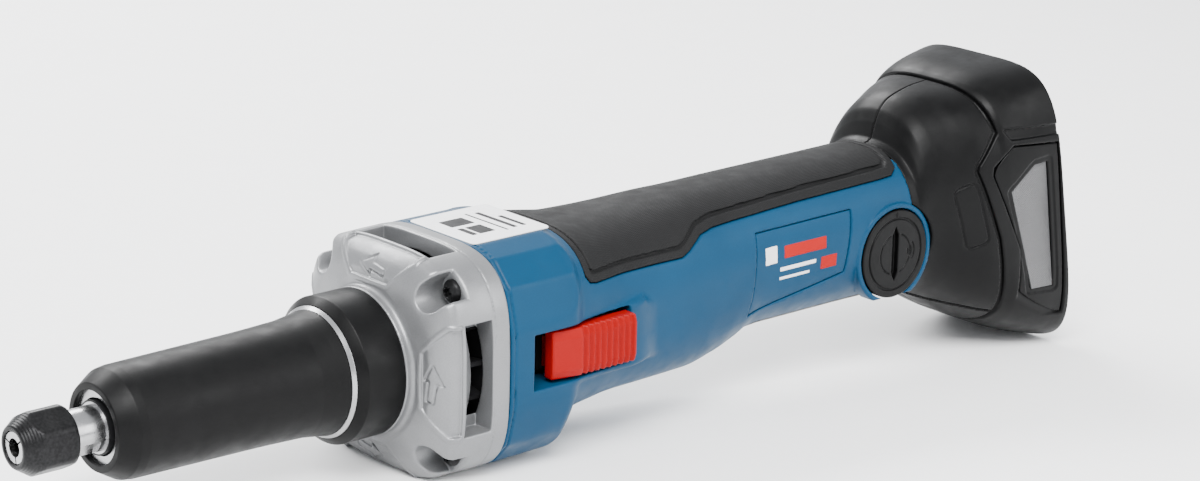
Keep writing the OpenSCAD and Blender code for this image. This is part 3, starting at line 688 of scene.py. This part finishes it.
def casting_field(x, y, z):
    """The grey flange: collar seat, panels with arrows, vents, screw pockets and bore."""
    base = np.maximum(CAST_FORM.field(x, y, z), 134.9 - x)
    u, v = quarter(y, z)
    r = np.hypot(y, z)
    d = soft_max(base, x - 163.8, 0.5)
    d = soft_min(d, np.maximum(r - 24.95, np.maximum(131.9 - x, x - 140)), 1.6)
    panel = outline_field(u, v, PANEL)
    front = np.maximum(x - 144, 26 - r)
    d = soft_min(d, np.maximum(np.maximum(np.abs(panel - 0.6) - 0.7, base - 0.5), front), 0.5)
    d = cut(d, np.maximum(np.maximum(panel + 0.3, -(base + 1.1)), front), 0.4)
    d = cut(d, np.maximum(np.maximum(np.abs(outline_field(u, v, ARROW)) - 0.35, -(base + 1.8)), front), 0.12)
    window = np.maximum(np.maximum(145.5 - x, x - 156.5), np.maximum(np.abs(u) - 19, 30 - v))
    d = cut(d, window, 0.7)
    d = soft_min(d, np.maximum(outline_field(x, r, RAMP), np.abs(u) - 19.5), 0.3)
    d = cut(d, outline_field(x, r, CHAMBER), 0.2)
    # the screw pockets, open towards the corners
    w, h = np.abs(y) - SCREW_Y, np.abs(z) - SCREW_Y
    t = np.clip((w + h) * 0.5, 0, 12)
    d = cut(d, np.maximum(np.hypot(w - t, h - t) - 5.2, x - SCREW_FLOOR_X), 1.7)
    d = cut(d, np.maximum(np.abs(x - 157.6) - 0.2, -(base + 0.25)), 0.1)
    bore = np.minimum(np.maximum(r - 22, x - 135.8), np.minimum(np.maximum(r - 14, x - 142.8), r - 10))
    return np.maximum(cut(d, bore, 0.1), v - 38.95)


moulded("flange_casting_skin", casting_field, (131.9, -39.3, -39), (164, 39.3, 39), 0.45, CAST, "housing",
        ["flange_casting"])


def screw_field(x, y, z):
    """A pan head about the X axis, with a six-lobed socket."""
    r, turn = np.hypot(y, z), np.arctan2(z, y)
    head = soft_max(np.maximum(r - 4.05, x), np.sqrt((x - 1.9) ** 2 + r ** 2) - 4.9, 0.5)
    lobe = (r - 1.75 - 0.35 * np.cos(6 * turn)) * 0.8
    return cut(head, np.maximum(lobe, x + 1.1), 0.15)


SCREW_PLACES = [(SCREW_FLOOR_X, a * SCREW_Y, b * SCREW_Y) for a in (-1, 1) for b in (-1, 1)]
repeated("flange_screw_heads", screw_field, (-3.2, -4.1, -4.1), (0, 4.1, 4.1), 0.25, SCREW_PLACES, BLACK_STEEL,
         "housing", ["flange_screws"])


# ---------------------------------------------------------------- slide button

def button_field(x, y, z):
    """The red slide button: a ramp in front, ribs behind and a stalk inside."""
    front = np.maximum(194.2 - x, 0)
    ribbed = smooth_step(x, 194.4, 195.2) * (1 - smooth_step(x, 217.6, 218.4))
    rib = 0.55 * (1 - np.cos((x - 194.8) * 2 * math.pi / 2.62)) * ribbed
    outer = -39.35 + 0.17 * front + 0.3 * np.maximum(z - 6, 0) + 0.3 * np.maximum(-5 - z, 0) + rib
    sides = box_field((x, y, z), (184.1, -60, -7), (218.1, -33.7, 8.2)) - 0.9
    cap = soft_max(sides, (outer - y) * 0.8, 0.7)
    stalk = box_field((x, y, z), (186.5, -35, -5), (211, -28.4, 5)) - 0.4
    return np.minimum(cap, stalk)


moulded("slide_button_skin", button_field, (183, -39.5, -8.1), (219.3, -28, 9.3), 0.3, RED, "slide_switch",
        ["slide_button"])


# ---------------------------------------------------------------- round cover

def cover_field(x, y, z):
    """The round cover: groove, coin slot, thin circle, three arcs for radio waves and a tick."""
    u, w = x - COVER_X, z - COVER_Z
    r = np.hypot(u, w)
    disc = soft_max(r - COVER_R + 0.05, np.maximum(COVER_Y - 0.3 - y, y - COVER_Y - 2.6), 0.5)
    disc = cut(disc, np.maximum(np.abs(r - 13.4) - 0.4, y - COVER_Y - 0.2), 0.2)
    slot = np.maximum(np.abs(u) + np.maximum(np.abs(w) - 7.2, 0) * 0.5 - 1.6, y - COVER_Y - 1.8)
    disc = cut(disc, slot, 0.25)
    circle = np.maximum(np.abs(r - 7.6) - 0.2, y - COVER_Y - 0.12)
    disc = cut(disc, np.maximum(circle, 2.6 - np.abs(u)), 0.1)
    reach = np.hypot(u - 5.2, w)
    waves = np.minimum(np.abs(reach - 1.5), np.minimum(np.abs(reach - 3.1), np.abs(reach - 4.7))) - 0.22
    waves = np.maximum(waves, np.maximum(np.abs(w) - (u - 5.2) * 0.9, y - COVER_Y - 0.12))
    disc = cut(disc, waves, 0.1)
    tick = np.maximum(np.abs(u) - 0.3, np.abs(w - 15) - 0.8)
    return cut(disc, np.maximum(tick, y - COVER_Y), 0.1)


moulded("module_cover_skin", cover_field, (COVER_X - 17, -27, COVER_Z - 17), (COVER_X + 17, -23.5, COVER_Z + 17),
        0.28, BLACK, "module_cover", ["module_cover"])


# ---------------------------------------------------------------- nose and neck

FLATS_R, NUT_R = 9.5, 10.42     # the collet nut, to its flats and to its turned corners


def nut_field(x, y, z):
    """The collet nut: a hexagon behind a cone with fine turning rings, and its stepped bore."""
    r = np.hypot(y, z)
    turn = np.arctan2(z, y)
    hexagon = r * np.cos((turn + math.pi / 6) % (math.pi / 3) - math.pi / 6) - FLATS_R
    cone = (r - 6.75 - x * 0.655) * 0.836
    cone = cone + 0.04 * np.cos(x * 2 * math.pi / 0.8)
    rear = (r - NUT_R + (x - 16.7) * 0.6) * 0.85
    d = soft_max(soft_max(hexagon, r - NUT_R, 0.25), np.maximum(0.02 - x, x - 18.28), 0.3)
    d = soft_max(soft_max(d, cone, 0.35), rear, 0.35)
    bore = np.where(x < 4.2, np.where(x < 3, 5.36, 6.4), np.minimum(6.4 + (x - 4.2) * 0.155, 7.05))
    return cut(d, r - bore, 0.1)


moulded("collet_nut_skin", nut_field, (0, -10.6, -10.6), (18.4, 10.6, 10.6), 0.28, BLACK_STEEL, "collet_nut",
        ["collet_nut"])
SLEEVE_PROFILE = [(12.0, 28.9), (14.3, 28.9), (17.85, 34.9), (18.3, 38), (18.9, 85), (19.1, 92), (19.5, 103),
                  (20.3, 109), (21.0, 112.9), (16.25, 112.9), (16.25, 35.6), (13.05, 30.7), (12.0, 30.7)]
COLLAR_PROFILE = [(22.05, 114.1), (24.85, 117.0), (24.85, 131.75), (22.05, 131.75)]
lathe("neck_sleeve_skin", eased(SLEEVE_PROFILE, 0.35), SLEEVE_SKIN, "housing", ["neck_sleeve"])
lathe("clamp_collar_skin", eased(COLLAR_PROFILE, 0.35), COLLAR_SKIN, "housing", ["clamp_collar"])


# ---------------------------------------------------------------- top label

def rounded_plate(low, high, radius, z0, z1):
    """A flat plate with rounded corners."""
    def field(x, y, z):
        q = (np.maximum(np.maximum(low[0] + radius - x, x - high[0] + radius), 0),
             np.maximum(np.maximum(low[1] + radius - y, y - high[1] + radius), 0))
        return np.maximum(np.hypot(*q) - radius, np.maximum(z0 - z, z - z1))
    return field


LABEL_PRINTS = {"label_rule": ((184.6, -11.5), (185.6, 11.5)), "label_block_a": ((171.5, -9.5), (173.8, -1)),
                "label_block_b": ((174.8, -9.5), (181.4, -1)), "label_block_c": ((171.5, 1.5), (181.4, 9)),
                "label_block_d": ((188.2, -10.5), (190.2, 10.5)), "label_block_e": ((192.2, -10.5), (194, 3))}
INK_Z0, INK_Z1 = 37.9, 38.19
moulded("top_label_skin", rounded_plate((165.3, -17.3), (198.7, 17.3), 2, 37.62, 38.14), (165, -17.5, 37.5),
        (199, 17.5, 38.2), 0.3, FOIL, "housing", ["top_label"])
for name, (low, high) in LABEL_PRINTS.items():
    moulded(name, rounded_plate(low, high, 0.45, INK_Z0, INK_Z1), (*low, INK_Z0), (*high, INK_Z1), 0.2, BLACK_INK,
            "housing", ())


# ---------------------------------------------------------------- stage, light and camera

def ground(x):
    """Height of the floor under the tool, which leans on the front of its housing and its rear rim."""
    return -39.4 - (x - 188) * 0.0435


def stage():
    reach = (-6000, 6000)
    floor_points = np.array([[x, y, ground(x)] for x in reach for y in reach])
    floor = mesh_object("floor", floor_points, np.array([[0, 2, 3, 1]]))
    paint = material("floor_paint", "floor", (0.93, 0.93, 0.93), 0.8, 0, 4, 0.01, 0.006)
    floor.data.materials.append(paint[0])


def area_light(name, place, target, width, height, power):
    """A rectangular light. Places and sizes are in metres, power is in watts."""
    light = bpy.data.lights.new(name, "AREA")
    light.shape = "RECTANGLE"
    light.size, light.size_y = width, height
    light.energy = power
    item = bpy.data.objects.new(name, light)
    bpy.context.scene.collection.objects.link(item)
    item.location = place
    item.rotation_euler = (Vector(target) - Vector(place)).to_track_quat("-Z", "Y").to_euler()


def studio():
    middle = (0.22, 0, 0)
    area_light("key", (-0.35, -0.75, 1.25), middle, 1.1, 0.7, 60)
    area_light("side", (0.95, -1.1, 0.55), middle, 0.8, 0.8, 12)
    area_light("back", (0.3, 1.1, 0.9), middle, 1.4, 0.5, 44)
    world = bpy.data.worlds.new("studio")
    world.use_nodes = True
    sky = world.node_tree.nodes["Background"].inputs
    sky["Color"].default_value = (0.9, 0.92, 0.95, 1)
    sky["Strength"].default_value = 1.4
    bpy.context.scene.world = world


def camera():
    """The photo's camera: a long lens close to the nose, above it and to its left."""
    lens = bpy.data.cameras.new("camera")
    lens.lens, lens.sensor_width, lens.sensor_fit = 99.0, 36.0, "HORIZONTAL"
    lens.clip_start, lens.clip_end = 0.05, 20
    item = bpy.data.objects.new("camera", lens)
    bpy.context.scene.collection.objects.link(item)
    right, up = Vector((0.75191, -0.65898, 0.01921)), Vector((0.17691, 0.22976, 0.95703))
    turn = Matrix((right, up, right.cross(up))).transposed()
    item.matrix_world = Matrix.Translation((-0.4901, -0.8190, 0.3530)) @ turn.to_4x4()
    bpy.context.scene.camera = item


stage()
studio()
camera()
